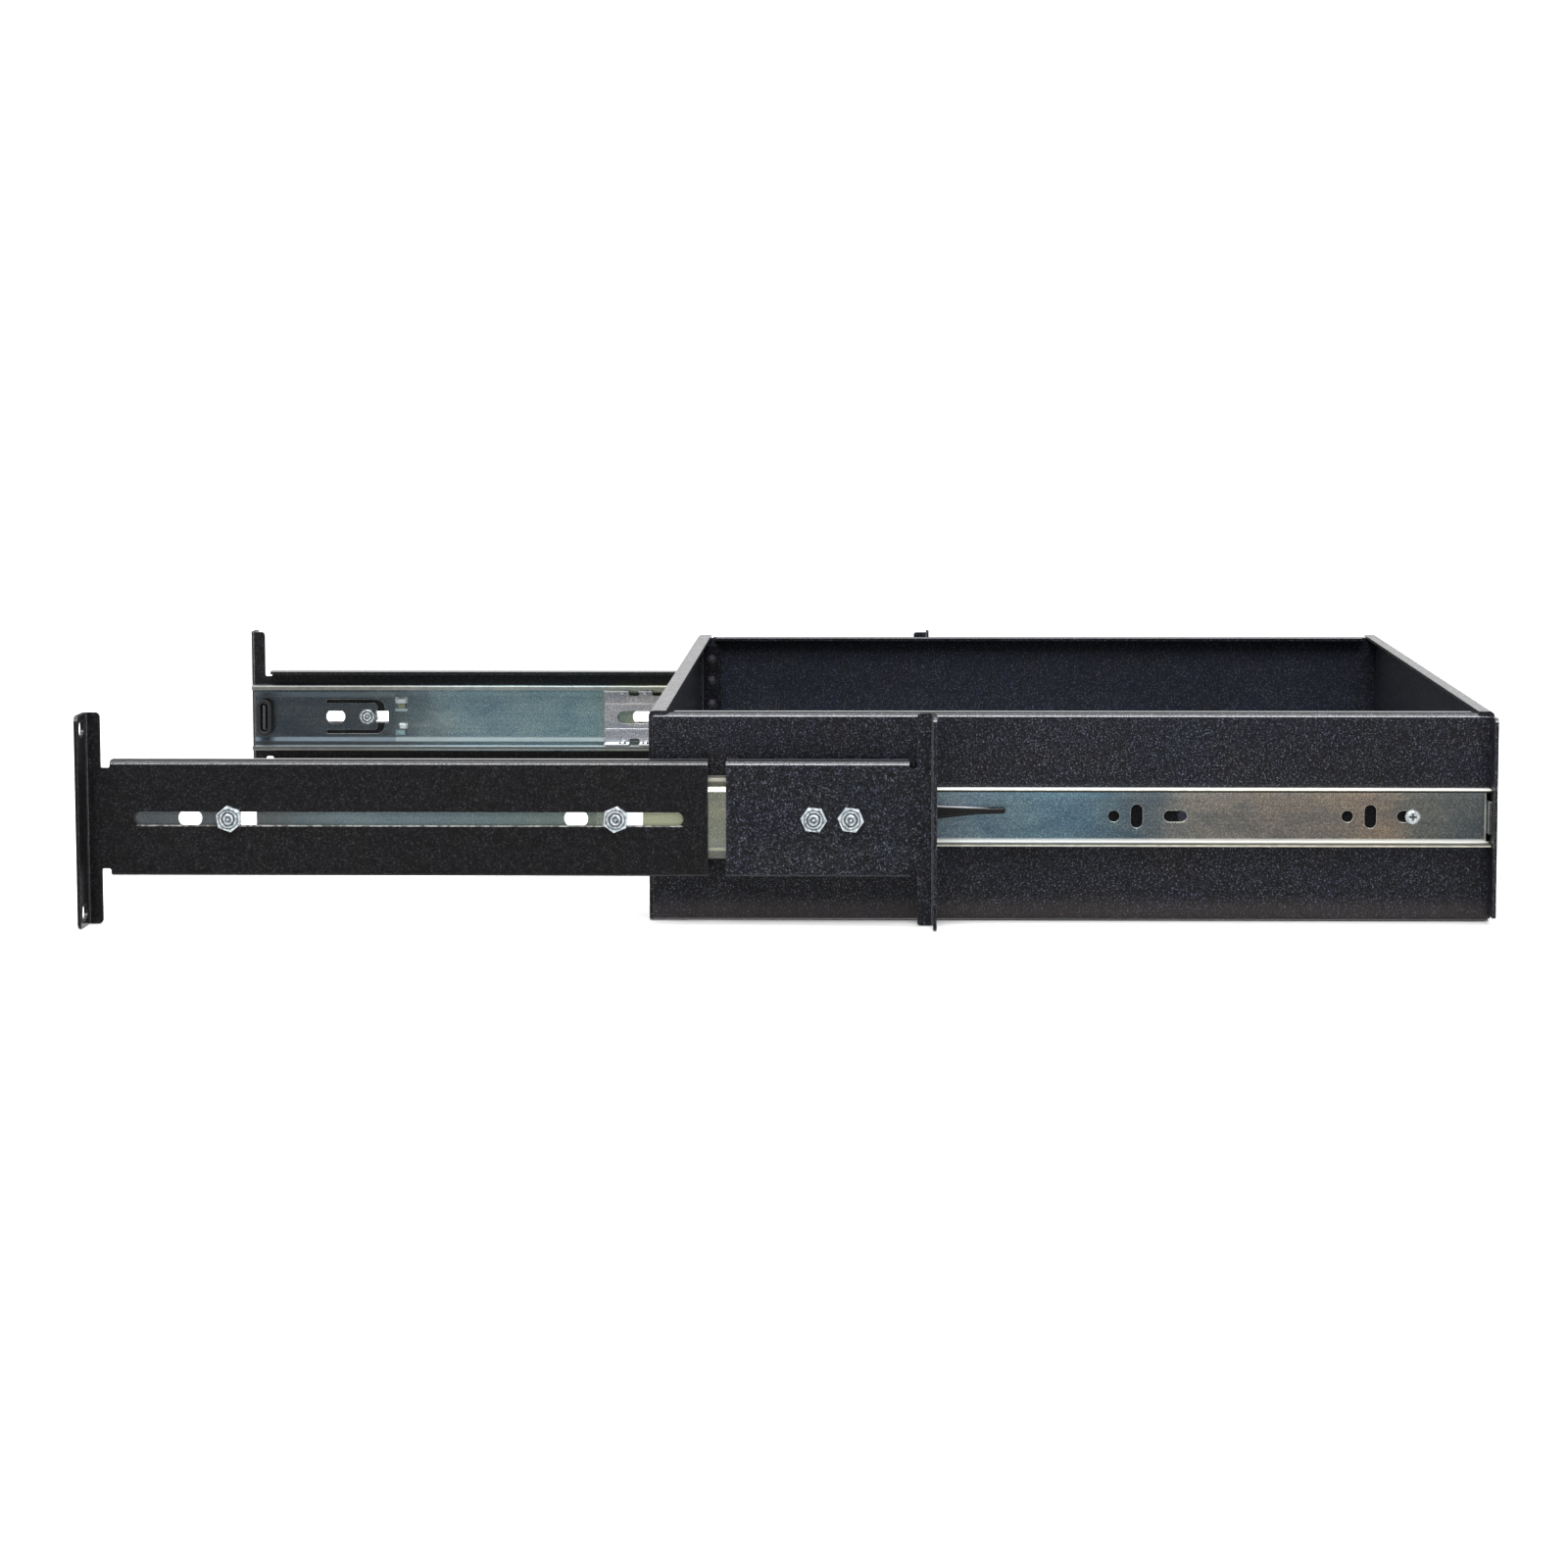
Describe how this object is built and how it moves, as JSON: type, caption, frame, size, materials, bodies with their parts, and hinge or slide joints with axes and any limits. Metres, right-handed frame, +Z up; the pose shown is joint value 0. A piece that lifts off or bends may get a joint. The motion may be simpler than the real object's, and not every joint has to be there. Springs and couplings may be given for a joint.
{
  "type": "sliding rack drawer",
  "caption": "Folded steel rack drawer on ball-bearing slides, with slotted front ears and depth-adjustable rear brackets, shown part open.",
  "frame": {"origin": "centre of the front ears' slot pattern, on the rear faces of the front ears; the slide axis passes through it", "axes": "+Z up, +X across the rack, to the right as seen from the front, the drawer opens towards -Y"},
  "size_m": [0.4826, 0.6042, 0.088],
  "materials": {
    "black_powder_coat": "fine-grained satin powder coat",
    "zinc_plate": "zinc plated sheet",
    "bright_zinc": "bright zinc plated fasteners",
    "ball_steel": "polished balls",
    "black_plastic": "moulded black plastic",
    "black_rubber": "soft black rubber",
    "handle_black": "satin black"
  },
  "bodies": {
    "rack_rails": {"left_front_bracket": "black_powder_coat", "right_front_bracket": "black_powder_coat", "left_cabinet_member": "zinc_plate", "right_cabinet_member": "zinc_plate", "left_rear_bumper": "black_rubber", "right_rear_bumper": "black_rubber", "left_front_bolts": "bright_zinc", "right_front_bolts": "bright_zinc", "left_front_nuts": "bright_zinc", "right_front_nuts": "bright_zinc", "left_rear_bolts": "bright_zinc", "right_rear_bolts": "bright_zinc", "left_rear_nuts": "bright_zinc", "right_rear_nuts": "bright_zinc"},
    "drawer": {"drawer_tray": "black_powder_coat", "front_panel": "black_powder_coat", "rear_panel": "black_powder_coat", "pull_handle": "handle_black", "handle_screws": "bright_zinc", "left_drawer_member": "zinc_plate", "right_drawer_member": "zinc_plate", "left_drawer_member_screws": "bright_zinc", "right_drawer_member_screws": "bright_zinc", "left_lever_rivet": "bright_zinc", "right_lever_rivet": "bright_zinc"},
    "left_retainer": {"left_ball_retainer": "zinc_plate", "left_slide_balls": "ball_steel"},
    "left_lever": {"left_release_lever": "black_plastic"},
    "left_rear_bracket_body": {"left_rear_bracket": "black_powder_coat"},
    "right_retainer": {"right_ball_retainer": "zinc_plate", "right_slide_balls": "ball_steel"},
    "right_lever": {"right_release_lever": "black_plastic"},
    "right_rear_bracket_body": {"right_rear_bracket": "black_powder_coat"}
  },
  "joints": [
    {"name": "drawer_slide", "type": "slide", "parent": "rack_rails", "child": "drawer", "axis": [0, -1, 0], "range_m": [-0.2284, 0.017]},
    {"name": "left_retainer_slide", "type": "slide", "parent": "rack_rails", "child": "left_retainer", "axis": [0, -1, 0], "range_m": [-0.1142, 0.0085]},
    {"name": "left_lever_pivot", "type": "hinge", "parent": "drawer", "child": "left_lever", "pos_m": [-0.2128, 0.052, 0], "axis": [-1, 0, 0], "range_deg": [0, 4.5], "stiffness_Nm_per_rad": 0.05},
    {"name": "left_rear_bracket_adjust", "type": "slide", "parent": "rack_rails", "child": "left_rear_bracket_body", "axis": [0, 1, 0], "range_m": [-0.007, 0.0249]},
    {"name": "right_retainer_slide", "type": "slide", "parent": "rack_rails", "child": "right_retainer", "axis": [0, -1, 0], "range_m": [-0.1142, 0.0085]},
    {"name": "right_lever_pivot", "type": "hinge", "parent": "drawer", "child": "right_lever", "pos_m": [0.2128, 0.052, 0], "axis": [-1, 0, 0], "range_deg": [0, 4.5], "stiffness_Nm_per_rad": 0.05},
    {"name": "right_rear_bracket_adjust", "type": "slide", "parent": "rack_rails", "child": "right_rear_bracket_body", "axis": [0, 1, 0], "range_m": [-0.007, 0.0249]}
  ],
  "couplings": [
    {"joint": "left_retainer_slide", "follows": "drawer_slide", "ratio": 0.5},
    {"joint": "right_retainer_slide", "follows": "drawer_slide", "ratio": 0.5}
  ]
}
